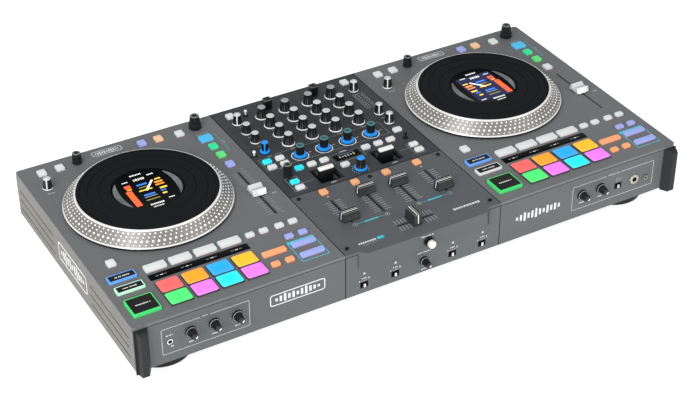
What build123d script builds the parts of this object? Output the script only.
from build123d import *
import os

# DJ controller: two motor-driven decks either side of a four-channel mixer.
# +X is the player's right, +Y points away from the player and +Z is up. The origin is on
# the table under the middle of the case. Lengths are in millimetres.

os.makedirs("parts", exist_ok=True)

# Case
CASE_W = 792.0
CASE_D = 377.2
CASE_H = 65.7
FOOT_H = 24.5
FOOT_R = 40.0
FOOT_X = 341.6
FOOT_Y = 131.0
MIXER_W = 227.8
COVER_T = 4.0
WALL = 1.5
SEAM = 0.3
SIDE_T = 4.0
GROOVE_Y = (-114.5, 119.5)
GROOVE_Z = (13.6, 27.4, 41.4)
GROOVE_L = 118.0
GROOVE_W = 2.2
REACH_Y = 208.5
TOP = FOOT_H + CASE_H
FRONT_Y = -CASE_D / 2
REAR_Y = CASE_D / 2
PAN_W = 783.0
PAN_H = CASE_H - COVER_T
UNDER = TOP - COVER_T

# Corner bumpers, which stand out of the front face
BUMPER_OUT = 12.0
BUMPER_INNER_X = 377.0
BUMPER_FACE_IN_X = 384.0
BUMPER_FACE_OUT_X = 391.5
BUMPER_OUTER_X = 393.5
BUMPER_FLANGE_T = 2.0
BUMPER_BOTTOM = FOOT_H - 2.5

# Decks: everything is placed from the platter's centre
PLATTER_INSET = 123.7
PLATTER_Y = 38.8
PLATTER_R = 109.0
PLATTER_TOP_R = 95.0
PLATTER_BORE_R = 46.8
PLATTER_RIM_H = 3.8
PLATTER_TOP_H = 18.0      # floor under the record
PLATTER_CONE_H = 17.6     # top of the dotted band
PLATTER_CREST_H = 20.8
RECORD_R = 90.5
RECORD_GAP = 0.6          # round the record, inside the crest
RECORD_H = 3.2
DISPLAY_H = 20.0
DISPLAY_R = 45.8
STATOR_OUT_R = 68.0
STATOR_IN_R = 52.0
DECK_X = {"left": PLATTER_INSET - CASE_W / 2, "right": PLATTER_INSET + MIXER_W / 2}

# Controls
GAP = 0.5            # running gap of a button in its window
BUTTON_RISE = 3.0    # how far a cap stands above the cover
PAD_RISE = 3.0
START_RISE = 4.5
BUTTON_DEPTH = 6.0   # how far a cap reaches below the cover's top
KNOB_GAP = 0.8       # air between a knob's skirt and the cover
SHAFT_R = 3.0
SHAFT_HOLE_R = 4.0
SHAFT_DEPTH = 9.0
SLOT_W = 3.6
STEM_W = 2.4
STEM_L = 6.0

PAD_SIZE = (28.5, 23.5)
PAD_PITCH = (33.4, 26.1)
PAD_CENTRE = (-1.3, -186.8)
MODE_SIZE = (28.0, 12.8)
MODE_CENTRE = (-1.3, -131.6)
TRANSPORT_SIZE = (36.0, 13.5)
TRANSPORT_X = -94.8
START_SIZE = (35.5, 32.0)
START_AT = (-95.6, -194.5)
STRIP_SIZE = (133.0, 12.5)
STRIP_AT = (-0.3, -149.0)
WIDE_SIZE = (32.0, 9.0)
SMALL_SIZE = (11.0, 8.0)
SQUARE_SIZE = (11.0, 12.5)
LOAD_SIZE = (18.0, 15.0)

# x, y from the platter's centre
SQUARES = [(-94.7, 127.7), (-69.7, 127.7), (47.8, 128.7), (71.8, 128.2), (101.8, 125.7),
           (127.7, 74), (127.5, 50.7), (127.8, 24.5), (-95, -99.5)]
SMALLS = [(77.4, -131), (96.3, -131), (118.3, -131), (137.2, -131), (118.2, -157.5),
          (137.2, -157.5), (77.1, -200.1), (96.4, -200.1)]
WIDES = [(127.4, -177.3), (127.2, -200.6), (86.7, -177.5)]
TRANSPORTS = [(TRANSPORT_X, -131.3), (TRANSPORT_X, -155.5)]
LOAD_AT = (127.4, 97.0)
LOOP_KNOB_AT = (-45.0, 128.5)
BROWSE_KNOB_AT = (127.0, 129.5)
TUNE_KNOB_AT = (-100.5, 91.5)
PITCH_X = 128.6
PITCH_Y = -50.8
PITCH_SLOT = 109.0
PITCH_CAP = (19.0, 21.0, 8.5)

# Mixer
EQ_PITCH_X = 36.2
EQ_ROWS = {"trim": 146.8, "high": 120.9, "mid": 95.0, "low": 69.1}
FILTER_Y = 36.5
FX_KNOB_AT = (-0.5, -30.8)
SEAM_Y = -44.6
CHANNEL_PITCH = 46.8
CHANNEL_SLOT = 57.0
CHANNEL_MID_Y = -102.5
CHANNEL_CAP = (24.5, 13.0, 12.0)
CHANNEL_REST = [-19.5, 20.5, 17.5, -19.0]
CROSS_Y = -166.0
CROSS_SLOT = 54.0
CROSS_REST = -3.0
CROSS_CAP = (13.0, 24.0, 15.0)
CUE_SIZE = (10.2, 10.2)
CUE_Y = -55.5
MIX_BUTTON = (11.8, 8.2)
MIX_SQUARE = (10.5, 11.5)
MIX_BUTTONS = [(-100, 43.7), (-81.1, 43.7), (-100, 28.9), (-81.1, 28.9), (-70.2, 10.1),
               (-51.4, 10.1), (-32.6, 10.1), (-13.8, -12.9), (31, 10.1), (50.2, 10.1),
               (69.4, 10.1), (89.9, 26.5), (89.9, -15.8), (89.9, -30.1), (-90.8, -15.8),
               (-90.8, -30.5)]
MIX_SQUARES = [(-91.6, 169.8), (89.8, 171.2)]
SIDE_X = 90.8
SIDE_KNOBS = [(-SIDE_X, 148.3), (-SIDE_X, 121), (-SIDE_X, 95.2), (-SIDE_X, 67.3),
              (SIDE_X, 146), (SIDE_X, 76), (SIDE_X, 48.8)]
SELECTORS = [(-EQ_PITCH_X, 165), (EQ_PITCH_X, 165)]
TOGGLES = [(-108, 65), (-71, 163), (90, 5)]
ENCODER_AT = (-92.0, 0.5)
FX_SCREEN_SIZE = (38.0, 14.0)
FX_SCREEN_AT = (0.0, 6.5)
PADDLE_RECESS = (32.0, 32.0)
RECESS_X = {"left": -45.5, "right": 45.5}
RECESS_Y = -19.5
PADDLE_OFF_X = -3.2      # the blade stands off the middle of its recess
PADDLE_Y = -23.0
PADDLE_W = 21.0
PADDLE_TOP = TOP + 15.0
PADDLE_SLOT = (23.5, 20.0)
PADDLE_PIVOT = TOP - 7.0
PADDLE_X = {side: x + PADDLE_OFF_X for side, x in RECESS_X.items()}

# Fader plate's lip, which stands out over the front face
LIP_OUT = 8.8
LIP_HALF = 95.8
LIP_BOTTOM = FOOT_H + 44.0
LIP_ROOT = FOOT_H + 38.8

# Front face: x, and height above the underside of the case
MIC_KNOBS = [(-323.6, 34.3), (-293.1, 34.3), (-262.7, 34.0)]
PHONE_KNOBS = [(244, 34.7), (274, 34.9)]
CURVE_KNOB = (-0.5, 17.4)
FRONT_KNOB_L = 13.5
TENSION_Z = 53.0
SLIDES = [(-87.4, 12.6), (-42.4, 12.6), (42.4, 12.6), (87.4, 12.6), (303.6, 29)]
SLIDE_WINDOW = (9.5, 7.0)
MIC_BUTTON = (-350.8, 29.2)
BIG_JACK = (329.9, 30.4)
SMALL_JACK = (349.2, 27.0)
BIG_JACK_R = 3.2
SMALL_JACK_R = 1.8
BIG_JACK_L = 14.0
SMALL_JACK_L = 11.0

# Rear face
REAR_Z = 33.0
INLET_X = -330.0
USB_X = [-60.0, -30.0]
RCA_X = [30.0, 48.0, 66.0, 84.0]
GROUND_X = 110.0
REAR_JACK_X = [180.0, 208.0, 250.0, 278.0]
SWITCH_X = -285.0


def save(piece, name):
    piece.label = name
    export_step(piece, f"parts/{name}.step")


def upright(x, y):
    """Upright plane through a control's axis, with its origin on the cover."""
    return Plane(origin=(x, y, TOP), x_dir=(1, 0, 0), z_dir=(0, -1, 0))


def deck_spots(side, spots):
    return [(DECK_X[side] + x, PLATTER_Y + y) for x, y in spots]


def grid(centre, pitch, columns, rows):
    xs = [centre[0] + (i - (columns - 1) / 2) * pitch[0] for i in range(columns)]
    ys = [centre[1] + ((rows - 1) / 2 - j) * pitch[1] for j in range(rows)]
    return [(x, y) for y in ys for x in xs]


PADS = grid(PAD_CENTRE, PAD_PITCH, 4, 2)
MODES = grid(MODE_CENTRE, PAD_PITCH, 4, 1)
EQ_X = [(i - 1.5) * EQ_PITCH_X for i in range(4)]
CHANNEL_X = [(i - 1.5) * CHANNEL_PITCH for i in range(4)]
DECK_BUTTONS = [(SQUARES, SQUARE_SIZE), (SMALLS, SMALL_SIZE), (WIDES, WIDE_SIZE),
                (TRANSPORTS, TRANSPORT_SIZE), (MODES, MODE_SIZE), ([LOAD_AT], LOAD_SIZE)]


# ---------------------------------------------------------------- case

def make_bottom_pan():
    """Folded tray: floor, front and rear walls, and short side walls."""
    with BuildPart() as pan:
        with BuildSketch(Plane.XY.offset(FOOT_H)):
            Rectangle(PAN_W, CASE_D)
        extrude(amount=PAN_H)
        with BuildSketch(Plane.XY.offset(FOOT_H + WALL)):
            Rectangle(PAN_W - 2 * WALL, CASE_D - 2 * WALL)
        extrude(amount=PAN_H, mode=Mode.SUBTRACT)
        front = Plane(origin=(0, FRONT_Y, FOOT_H), x_dir=(1, 0, 0), z_dir=(0, -1, 0))
        with BuildSketch(front):
            with Locations(*MIC_KNOBS, *PHONE_KNOBS, CURVE_KNOB, MIC_BUTTON):
                Circle(SHAFT_HOLE_R)
            with Locations(*SLIDES):
                Rectangle(*SLIDE_WINDOW)
            with Locations(BIG_JACK):
                Circle(6.1)
            with Locations(SMALL_JACK):
                Circle(4.1)
        extrude(amount=-WALL, mode=Mode.SUBTRACT)
        rear = Plane(origin=(0, REAR_Y, FOOT_H + REAR_Z), x_dir=(1, 0, 0), z_dir=(0, -1, 0))
        with BuildSketch(rear):
            with Locations((INLET_X, 0)):
                Rectangle(32.4, 24.4)
            with Locations(*[(x, 0) for x in USB_X]):
                Rectangle(14.4, 13.4)
            with Locations(*[(x, 0) for x in REAR_JACK_X]):
                Circle(6.1)
        extrude(amount=WALL, mode=Mode.SUBTRACT)
    save(pan.part, "bottom_pan")


def make_deck_cover(side):
    """Top sheet of one deck, with a window for each button and a well for the motor."""
    low = -CASE_W / 2 if side == "left" else MIXER_W / 2 + SEAM
    high = low + (CASE_W - MIXER_W) / 2 - SEAM
    with BuildPart() as cover:
        with BuildSketch(Plane.XY.offset(UNDER)):
            with Locations(((low + high) / 2, 0)):
                Rectangle(high - low, CASE_D)
        extrude(amount=COVER_T)
        outer = cover.edges().filter_by(Axis.Z).group_by(Axis.X)[0 if side == "left" else -1]
        fillet(outer, radius=5)
        with BuildSketch(Plane.XY.offset(TOP)):
            with Locations((DECK_X[side], PLATTER_Y)):
                Circle(STATOR_OUT_R + 2)
            for spots, (w, d) in DECK_BUTTONS:
                with Locations(*deck_spots(side, spots)):
                    Rectangle(w + 2 * GAP, d + 2 * GAP)
            with Locations(*deck_spots(side, PADS)):
                Rectangle(PAD_SIZE[0] + 2 * GAP, PAD_SIZE[1] + 2 * GAP)
            with Locations(*deck_spots(side, [START_AT])):
                Rectangle(START_SIZE[0] + 2 * GAP, START_SIZE[1] + 2 * GAP)
            with Locations(*deck_spots(side, [LOOP_KNOB_AT, BROWSE_KNOB_AT, TUNE_KNOB_AT])):
                Circle(SHAFT_HOLE_R)
            with Locations(*deck_spots(side, [(PITCH_X, PITCH_Y)])):
                SlotOverall(PITCH_SLOT, SLOT_W, rotation=90)
            with Locations(*deck_spots(side, [STRIP_AT])):
                Rectangle(STRIP_SIZE[0] + 0.4, STRIP_SIZE[1] + 0.4)
        extrude(amount=-COVER_T, mode=Mode.SUBTRACT)
    save(cover.part, f"{side}_deck_cover")


def make_mixer_cover():
    """Rear top sheet of the mixer, with recesses for the two effect paddles."""
    depth = REAR_Y - SEAM_Y
    with BuildPart() as cover:
        with BuildSketch(Plane.XY.offset(UNDER)):
            with Locations((0, SEAM_Y + depth / 2)):
                Rectangle(MIXER_W, depth)
        extrude(amount=COVER_T)
        with BuildSketch(Plane.XY.offset(TOP)):
            with Locations(*[(x, RECESS_Y) for x in RECESS_X.values()]):
                Rectangle(*PADDLE_RECESS)
        extrude(amount=-2.6, mode=Mode.SUBTRACT)
        with BuildSketch(Plane.XY.offset(TOP)):
            with Locations(*[(x, PADDLE_Y) for x in PADDLE_X.values()]):
                Rectangle(*PADDLE_SLOT)
            with Locations(*[(x, y) for x in EQ_X for y in [*EQ_ROWS.values(), FILTER_Y]]):
                Circle(SHAFT_HOLE_R)
            with Locations(*SIDE_KNOBS, *SELECTORS, ENCODER_AT, FX_KNOB_AT, *TOGGLES):
                Circle(SHAFT_HOLE_R)
            with Locations(*MIX_BUTTONS):
                Rectangle(MIX_BUTTON[0] + 2 * GAP, MIX_BUTTON[1] + 2 * GAP)
            with Locations(*MIX_SQUARES):
                Rectangle(MIX_SQUARE[0] + 2 * GAP, MIX_SQUARE[1] + 2 * GAP)
            with Locations(FX_SCREEN_AT):
                Rectangle(FX_SCREEN_SIZE[0] + 0.4, FX_SCREEN_SIZE[1] + 0.4)
        extrude(amount=-COVER_T, mode=Mode.SUBTRACT)
    save(cover.part, "mixer_cover")


def make_fader_plate():
    """Front top sheet of the mixer, folded down over the front face as a thick lip."""
    back = SEAM_Y - SEAM
    with BuildPart() as plate:
        with BuildSketch(Plane.XY.offset(UNDER)):
            with Locations((0, (back + FRONT_Y) / 2)):
                Rectangle(MIXER_W, back - FRONT_Y)
        extrude(amount=COVER_T)
        with BuildSketch(Plane.YZ.offset(-LIP_HALF)):
            with BuildLine():
                Polyline((FRONT_Y, TOP), (FRONT_Y - LIP_OUT, TOP), (FRONT_Y - LIP_OUT, LIP_BOTTOM),
                         (FRONT_Y, LIP_ROOT), close=True)
            make_face()
        extrude(amount=2 * LIP_HALF)
        for turn in (-1, 1):
            with BuildSketch(Plane.XY.offset(LIP_ROOT)):
                with BuildLine():
                    Polyline((turn * LIP_HALF, FRONT_Y), (turn * LIP_HALF, FRONT_Y - LIP_OUT - 1),
                             (turn * (LIP_HALF - LIP_OUT - 1), FRONT_Y - LIP_OUT - 1), close=True)
                make_face()
            extrude(amount=TOP - LIP_ROOT, mode=Mode.SUBTRACT)
        with BuildSketch(Plane.XY.offset(TOP)):
            with Locations(*[(x, CHANNEL_MID_Y) for x in CHANNEL_X]):
                SlotOverall(CHANNEL_SLOT, SLOT_W, rotation=90)
            with Locations((0, CROSS_Y)):
                SlotOverall(CROSS_SLOT, SLOT_W)
            with Locations(*[(x, CUE_Y) for x in CHANNEL_X]):
                Rectangle(CUE_SIZE[0] + 2 * GAP, CUE_SIZE[1] + 2 * GAP)
        extrude(amount=-COVER_T, mode=Mode.SUBTRACT)
    save(plate.part, "fader_plate")


def make_side_panel(side):
    """Flat metal cheek with three grooves in front and three behind."""
    out = 1 if side == "right" else -1
    inner = Plane(origin=(out * PAN_W / 2, 0, FOOT_H), x_dir=(0, out, 0), z_dir=(out, 0, 0))
    with BuildPart() as panel:
        with BuildSketch(inner):
            with Locations((0, PAN_H / 2)):
                RectangleRounded(CASE_D - 1, PAN_H - 1, 1.0)
        extrude(amount=SIDE_T)
        with BuildSketch(inner.offset(SIDE_T)):
            with Locations(*[(y * out, z) for y in GROOVE_Y for z in GROOVE_Z]):
                SlotOverall(GROOVE_L, GROOVE_W)
        extrude(amount=-1.2, mode=Mode.SUBTRACT)
    save(panel.part, f"{side}_side_panel")


def make_corner_bumpers():
    """Rubber corner blocks, bevelled towards the middle, with a thin flange to the side."""
    face_y = FRONT_Y - BUMPER_OUT
    flange_y = FRONT_Y - BUMPER_FLANGE_T
    with BuildPart() as bumpers:
        with BuildSketch(Plane.XY.offset(BUMPER_BOTTOM)):
            with BuildLine():
                Polyline((BUMPER_INNER_X, FRONT_Y), (BUMPER_FACE_IN_X, face_y),
                         (BUMPER_FACE_OUT_X, face_y), (BUMPER_OUTER_X, flange_y),
                         (CASE_W / 2, flange_y), (CASE_W / 2, FRONT_Y), close=True)
            make_face()
        extrude(amount=UNDER - BUMPER_BOTTOM)
        bottom = bumpers.edges().group_by(Axis.Z)[0].filter_by(Axis.X).sort_by(Axis.Y)[0]
        chamfer(bottom, length=2.0)
        top = bumpers.edges().group_by(Axis.Z)[-1].filter_by(Axis.X).sort_by(Axis.Y)[0]
        chamfer(top, length=3.5)
        mirror(about=Plane.YZ)
    save(bumpers.part, "corner_bumpers")


def make_feet():
    """Four turned feet with a rounded lower edge."""
    with BuildPart() as feet:
        with BuildSketch(Plane.XY):
            with GridLocations(2 * FOOT_X, 2 * FOOT_Y, 2, 2):
                Circle(FOOT_R)
        extrude(amount=FOOT_H)
        fillet(feet.edges().group_by(Axis.Z)[0], radius=3)
    save(feet.part, "feet")


# ---------------------------------------------------------------- decks

def make_platter(side):
    """Aluminium ring round the fixed screen, hollow below, on a long hub."""
    rim = PLATTER_RIM_H
    high = PLATTER_TOP_H
    crest_r = RECORD_R + RECORD_GAP
    with BuildPart() as platter:
        with BuildSketch(upright(DECK_X[side], PLATTER_Y)):
            with BuildLine():
                Polyline((PLATTER_BORE_R, -10), (PLATTER_BORE_R + 2.5, -10),
                         (PLATTER_BORE_R + 2.5, high - 4), (PLATTER_TOP_R - 3.5, high - 4),
                         (PLATTER_R - 5, 0.8), (PLATTER_R, 0.8), (PLATTER_R, rim),
                         (PLATTER_TOP_R, PLATTER_CONE_H), (crest_r + 1, PLATTER_CREST_H),
                         (crest_r, PLATTER_CREST_H), (crest_r, high), (PLATTER_BORE_R, high), close=True)
            make_face()
        revolve(axis=Axis((DECK_X[side], PLATTER_Y, 0), (0, 0, 1)))
    save(platter.part, f"{side}_platter")


def make_record(side):
    """Slipmat and grooved disc as one ring."""
    with BuildPart() as record:
        with BuildSketch(Plane.XY.offset(TOP + PLATTER_TOP_H)):
            with Locations((DECK_X[side], PLATTER_Y)):
                Circle(RECORD_R)
                Circle(PLATTER_BORE_R, mode=Mode.SUBTRACT)
        extrude(amount=RECORD_H)
        chamfer(record.edges().group_by(Axis.Z)[-1].sort_by(SortBy.RADIUS)[-1], length=0.5)
    save(record.part, f"{side}_record")


def make_motor_stators():
    """Base disc and coil ring that stay still under each platter."""
    with BuildPart() as stators:
        with BuildSketch(Plane.XY.offset(TOP - 16)):
            with Locations(*[(x, PLATTER_Y) for x in DECK_X.values()]):
                Circle(STATOR_OUT_R)
        extrude(amount=3.6)
        with BuildSketch(Plane.XY.offset(TOP - 12.4)):
            with Locations(*[(x, PLATTER_Y) for x in DECK_X.values()]):
                Circle(STATOR_OUT_R)
                Circle(STATOR_IN_R, mode=Mode.SUBTRACT)
        extrude(amount=21)
    save(stators.part, "motor_stators")


def make_displays():
    """Round screens on fixed posts, the label strips and the effect screen."""
    with BuildPart() as displays:
        with BuildSketch(Plane.XY.offset(TOP - 12.4)):
            with Locations(*[(x, PLATTER_Y) for x in DECK_X.values()]):
                Circle(DISPLAY_R)
        extrude(amount=12.4 + DISPLAY_H)
        with BuildSketch(Plane.XY.offset(TOP - 6)):
            with Locations(*deck_spots("left", [STRIP_AT]), *deck_spots("right", [STRIP_AT])):
                Rectangle(*STRIP_SIZE)
            with Locations(FX_SCREEN_AT):
                Rectangle(*FX_SCREEN_SIZE)
        extrude(amount=6.2)
    save(displays.part, "displays")


def make_button_group(name, groups, rise=BUTTON_RISE):
    """Caps that share one node. Each cap runs in its own window."""
    with BuildPart() as buttons:
        for spots, (w, d) in groups:
            with BuildSketch(Plane.XY.offset(TOP - BUTTON_DEPTH)):
                with Locations(*spots):
                    RectangleRounded(w, d, 1.0)
            extrude(amount=BUTTON_DEPTH + rise)
        chamfer(buttons.edges().group_by(Axis.Z)[-1], length=0.4)
    save(buttons.part, name)


def make_deck_buttons(side):
    groups = [(deck_spots(side, spots), size) for spots, size in DECK_BUTTONS]
    make_button_group(f"{side}_deck_buttons", groups)
    make_button_group(f"{side}_pads", [(deck_spots(side, PADS), PAD_SIZE)], rise=PAD_RISE)
    make_button_group(f"{side}_start_button", [(deck_spots(side, [START_AT]), START_SIZE)],
                      rise=START_RISE)


def make_pitch_cap(side):
    """Saddle-shaped cap: two raised ends and a finger hollow between them."""
    x, y = DECK_X[side] + PITCH_X, PLATTER_Y + PITCH_Y
    w, d, h = PITCH_CAP
    low = TOP + KNOB_GAP
    with BuildPart() as cap:
        with BuildSketch(Plane.YZ.offset(x - w / 2)):
            with BuildLine():
                Polyline((y - d / 2, low), (y - d / 2, low + 2.5), (y - d / 2 + 2.5, low + h))
                ThreePointArc((y - d / 2 + 2.5, low + h), (y, low + h - 3.2), (y + d / 2 - 2.5, low + h))
                Polyline((y + d / 2 - 2.5, low + h), (y + d / 2, low + 2.5), (y + d / 2, low),
                         (y - d / 2, low))
            make_face()
        extrude(amount=w)
        fillet(cap.edges().filter_by(Axis.Z), radius=1.5)
        with BuildSketch(Plane.XY.offset(low)):
            with Locations((x, y)):
                Rectangle(STEM_W, STEM_L)
        extrude(amount=-SHAFT_DEPTH)
    save(cap.part, f"{side}_pitch_cap")


# ---------------------------------------------------------------- mixer

def make_fader_cap(name, x, y, size, along_y):
    """Cap with sloping faces and a raised finger bar, on a flat stem."""
    w, d, h = size
    low = TOP + KNOB_GAP
    with BuildPart() as cap:
        with BuildSketch(Plane.XY.offset(low)):
            with Locations((x, y)):
                RectangleRounded(w, d, 1.2)
        extrude(amount=3)
        with BuildSketch(Plane.XY.offset(low + 3)):
            with Locations((x, y)):
                RectangleRounded(w - 1, d - 1, 1.0)
        with BuildSketch(Plane.XY.offset(low + h)):
            with Locations((x, y)):
                RectangleRounded(w - (2.5 if along_y else 5), d - (5 if along_y else 2.5), 0.8)
        loft()
        with BuildSketch(Plane.XY.offset(low)):
            with Locations((x, y)):
                Rectangle(STEM_W if along_y else STEM_L, STEM_L if along_y else STEM_W)
        extrude(amount=-SHAFT_DEPTH)
    save(cap.part, name)


def knob_outline(skirt_r, body_r, top_r, height):
    """Half section of a turned knob, from its shaft to its crown."""
    return [(0, -SHAFT_DEPTH), (SHAFT_R, -SHAFT_DEPTH), (SHAFT_R, KNOB_GAP), (skirt_r, KNOB_GAP),
            (skirt_r, KNOB_GAP + 1.8), (body_r, KNOB_GAP + 3), (top_r, height - 0.6),
            (top_r - 0.6, height), (0, height)]


def make_knob(name, x, y, size):
    """Turned knob with a pointer groove across the front half of its crown."""
    skirt_r, body_r, top_r, height = size
    with BuildPart() as knob:
        with BuildSketch(upright(x, y)):
            with BuildLine():
                Polyline(*knob_outline(*size), close=True)
            make_face()
        revolve(axis=Axis((x, y, 0), (0, 0, 1)))
        with BuildSketch(Plane.XY.offset(TOP + height)):
            with Locations((x, y + top_r / 2 + 0.4)):
                Rectangle(0.9, top_r)
        extrude(amount=-0.5, mode=Mode.SUBTRACT)
    save(knob.part, name)


EQ_KNOB = (8.9, 6.2, 5.1, 17.8)
FILTER_KNOB = (9.0, 6.7, 5.9, 17.2)
BROWSE_KNOB = (8.6, 7.2, 6.4, 20.3)
LOOP_KNOB = (6.4, 6.2, 6.0, 16.5)
FX_KNOB = (8.8, 6.4, 5.6, 17.5)
SIDE_KNOB = (6.8, 5.6, 4.8, 16.2)
SELECTOR_KNOB = (6.4, 6.0, 5.8, 15.5)
ENCODER_KNOB = (6.2, 5.9, 5.6, 19.5)


def make_mixer_knobs():
    for channel, x in enumerate(EQ_X, start=1):
        for row, y in EQ_ROWS.items():
            make_knob(f"ch{channel}_{row}_knob", x, y, EQ_KNOB)
        make_knob(f"ch{channel}_filter_knob", x, FILTER_Y, FILTER_KNOB)
    make_knob("fx_level_knob", *FX_KNOB_AT, FX_KNOB)


def make_paddle(side):
    """Effect lever: a broad blade on a cross pin below the cover."""
    x = PADDLE_X[side]
    with BuildPart() as paddle:
        with BuildSketch(Plane.XZ.offset(-PADDLE_Y)):
            with Locations((x, (PADDLE_TOP + PADDLE_PIVOT - 3) / 2)):
                Rectangle(PADDLE_W, PADDLE_TOP - PADDLE_PIVOT + 3)
        extrude(amount=3.2, both=True)
        fillet(paddle.edges().group_by(Axis.Z)[-1], radius=1.2)
        with BuildSketch(Plane.YZ.offset(x)):
            with Locations((PADDLE_Y, PADDLE_PIVOT)):
                Circle(2.5)
        extrude(amount=PADDLE_W / 2 + 3, both=True)
    save(paddle.part, f"{side}_fx_paddle")


def make_mixer_buttons():
    make_button_group("mixer_buttons", [
        (MIX_BUTTONS, MIX_BUTTON), (MIX_SQUARES, MIX_SQUARE),
        ([(x, CUE_Y) for x in CHANNEL_X], CUE_SIZE)])


def make_small_controls():
    """The minor knobs, toggles and slide switches, standing still in one node."""
    tune = deck_spots("left", [TUNE_KNOB_AT]) + deck_spots("right", [TUNE_KNOB_AT])
    turned = [(spot, SIDE_KNOB) for spot in [*SIDE_KNOBS, *tune]]
    turned += [(spot, SELECTOR_KNOB) for spot in SELECTORS]
    turned += [(ENCODER_AT, ENCODER_KNOB)]
    with BuildPart() as controls:
        for (x, y), size in turned:
            with BuildSketch(upright(x, y)):
                with BuildLine():
                    Polyline(*knob_outline(*size), close=True)
                make_face()
            revolve(axis=Axis((x, y, 0), (0, 0, 1)))
        with BuildSketch(Plane.XY.offset(TOP - SHAFT_DEPTH)):
            with Locations(*TOGGLES):
                Circle(SHAFT_R)
        extrude(amount=SHAFT_DEPTH + 9)
        front = Plane(origin=(0, FRONT_Y, FOOT_H), x_dir=(1, 0, 0), z_dir=(0, -1, 0))
        with BuildSketch(front.offset(KNOB_GAP)):
            with Locations(*MIC_KNOBS, *PHONE_KNOBS):
                Circle(7.4)
            with Locations(CURVE_KNOB):
                Circle(6.5)
        extrude(amount=FRONT_KNOB_L)
        with BuildSketch(front.offset(KNOB_GAP)):
            with Locations(*MIC_KNOBS, *PHONE_KNOBS, CURVE_KNOB):
                Circle(SHAFT_R)
        extrude(amount=-SHAFT_DEPTH)
        with BuildSketch(front.offset(-WALL - 4)):
            with Locations(*SLIDES):
                Rectangle(SLIDE_WINDOW[0] + 3, SLIDE_WINDOW[1] + 3)
        extrude(amount=4)
        with BuildSketch(front.offset(-WALL)):
            with Locations(*SLIDES):
                Rectangle(3.2, 3.2)
            with Locations(MIC_BUTTON):
                Circle(SHAFT_R + 0.5)
        extrude(amount=WALL + 1.6)
        with BuildSketch(front.offset(LIP_OUT)):
            with Locations((0, TENSION_Z)):
                Circle(7.0)
        extrude(amount=2.5)
        with BuildSketch(front.offset(LIP_OUT + 2.5)):
            with Locations((0, TENSION_Z)):
                Circle(5.2)
        extrude(amount=REACH_Y + FRONT_Y - LIP_OUT - 2.5)
    save(controls.part, "small_controls")


# ---------------------------------------------------------------- inside and rear

def make_sockets():
    """Headphone jacks in front; inlet, data sockets, jacks and phono sockets behind."""
    front = Plane(origin=(0, FRONT_Y, FOOT_H), x_dir=(1, 0, 0), z_dir=(0, -1, 0))
    rear = Plane(origin=(0, REAR_Y, FOOT_H + REAR_Z), x_dir=(-1, 0, 0), z_dir=(0, 1, 0))
    behind = [(-x, 0) for x in REAR_JACK_X]
    with BuildPart() as sockets:
        for face, spots, out_r, nut_r, bore_r, length in [
                (front, [BIG_JACK], 6.0, 7.4, BIG_JACK_R, BIG_JACK_L),
                (front, [SMALL_JACK], 4.0, 5.0, SMALL_JACK_R, SMALL_JACK_L),
                (rear, behind, 6.0, 7.4, BIG_JACK_R, BIG_JACK_L)]:
            with BuildSketch(face.offset(-length)):
                with Locations(*spots):
                    Circle(out_r)
            extrude(amount=length)
            with BuildSketch(face):
                with Locations(*spots):
                    RegularPolygon(nut_r, 6)
            extrude(amount=1.8)
            with BuildSketch(face.offset(1.8)):
                with Locations(*spots):
                    Circle(bore_r)
            extrude(amount=-length, mode=Mode.SUBTRACT)
        for spots, shell, cavity, length, depth in [
                ([(-INLET_X, 0)], (32, 24), (24, 16), 24, 17),
                ([(-x, 0) for x in USB_X], (14, 13), (9, 8.4), 18, 12)]:
            with BuildSketch(rear.offset(-length)):
                with Locations(*spots):
                    Rectangle(*shell)
            extrude(amount=length)
            with BuildSketch(rear):
                with Locations(*spots):
                    Rectangle(*cavity)
            extrude(amount=-depth, mode=Mode.SUBTRACT)
        with BuildSketch(rear):
            with Locations(*[(-x, z) for x in RCA_X for z in (-9, 9)]):
                Circle(4.2)
        extrude(amount=9)
        with BuildSketch(rear):
            with Locations((-SWITCH_X, 0)):
                RectangleRounded(14, 20, 1.5)
        extrude(amount=3)
        with BuildSketch(rear):
            with Locations((-GROUND_X, 0)):
                Circle(5.0)
        extrude(amount=REACH_Y - REAR_Y)
    save(sockets.part, "sockets")


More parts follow.
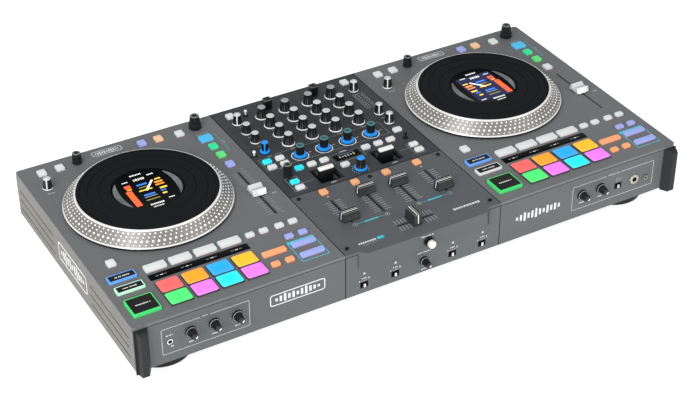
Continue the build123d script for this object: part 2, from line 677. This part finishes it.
def make_circuit_boards():
    """Control boards, supply board and the bodies of the potentiometers and faders."""
    board_z = TOP - 26
    with BuildPart() as boards:
        with BuildSketch(Plane.XY.offset(board_z)):
            with Locations(*[(x, 0) for x in (-255, 0, 255)]):
                Rectangle(220, 320)
        extrude(amount=1.6)
        with BuildSketch(Plane.XY.offset(board_z + 1.6)):
            with Locations(*[(x, y) for x in EQ_X for y in [*EQ_ROWS.values(), FILTER_Y]]):
                Rectangle(11, 11)
            with Locations(*[(x, CHANNEL_MID_Y) for x in CHANNEL_X]):
                Rectangle(9, 66)
            with Locations((0, CROSS_Y)):
                Rectangle(66, 9)
        extrude(amount=12)
        with BuildSketch(Plane.XY.offset(FOOT_H + WALL + 6)):
            with Locations((-300, 110)):
                Rectangle(110, 70)
        extrude(amount=20)
    save(boards.part, "circuit_boards")


def make_panel_screws():
    """Socket-head screws of the fader plate."""
    spots = [(-105, -176.5), (105, -176.5), (-105, -53), (105, -53), (0, -53)]
    with BuildPart() as screws:
        with BuildSketch(Plane.XY.offset(TOP)):
            with Locations(*spots):
                Circle(2.8)
        extrude(amount=1.2)
        with BuildSketch(Plane.XY.offset(TOP + 1.2)):
            with Locations(*spots):
                RegularPolygon(1.5, 6)
        extrude(amount=-0.9, mode=Mode.SUBTRACT)
    save(screws.part, "panel_screws")


make_bottom_pan()
make_mixer_cover()
make_fader_plate()
make_corner_bumpers()
make_feet()
make_motor_stators()
make_displays()
for deck in ("left", "right"):
    make_side_panel(deck)
    make_deck_cover(deck)
    make_platter(deck)
    make_record(deck)
    make_deck_buttons(deck)
    make_pitch_cap(deck)
    make_paddle(deck)
    make_knob(f"{deck}_browse_knob", *deck_spots(deck, [BROWSE_KNOB_AT])[0], BROWSE_KNOB)
    make_knob(f"{deck}_loop_knob", *deck_spots(deck, [LOOP_KNOB_AT])[0], LOOP_KNOB)
make_mixer_knobs()
make_mixer_buttons()
for number, fader_x in enumerate(CHANNEL_X, start=1):
    fader_y = CHANNEL_MID_Y + CHANNEL_REST[number - 1]
    make_fader_cap(f"ch{number}_fader_cap", fader_x, fader_y, CHANNEL_CAP, True)
make_fader_cap("crossfader_cap", CROSS_REST, CROSS_Y, CROSS_CAP, False)
make_small_controls()
make_sockets()
make_circuit_boards()
make_panel_screws()
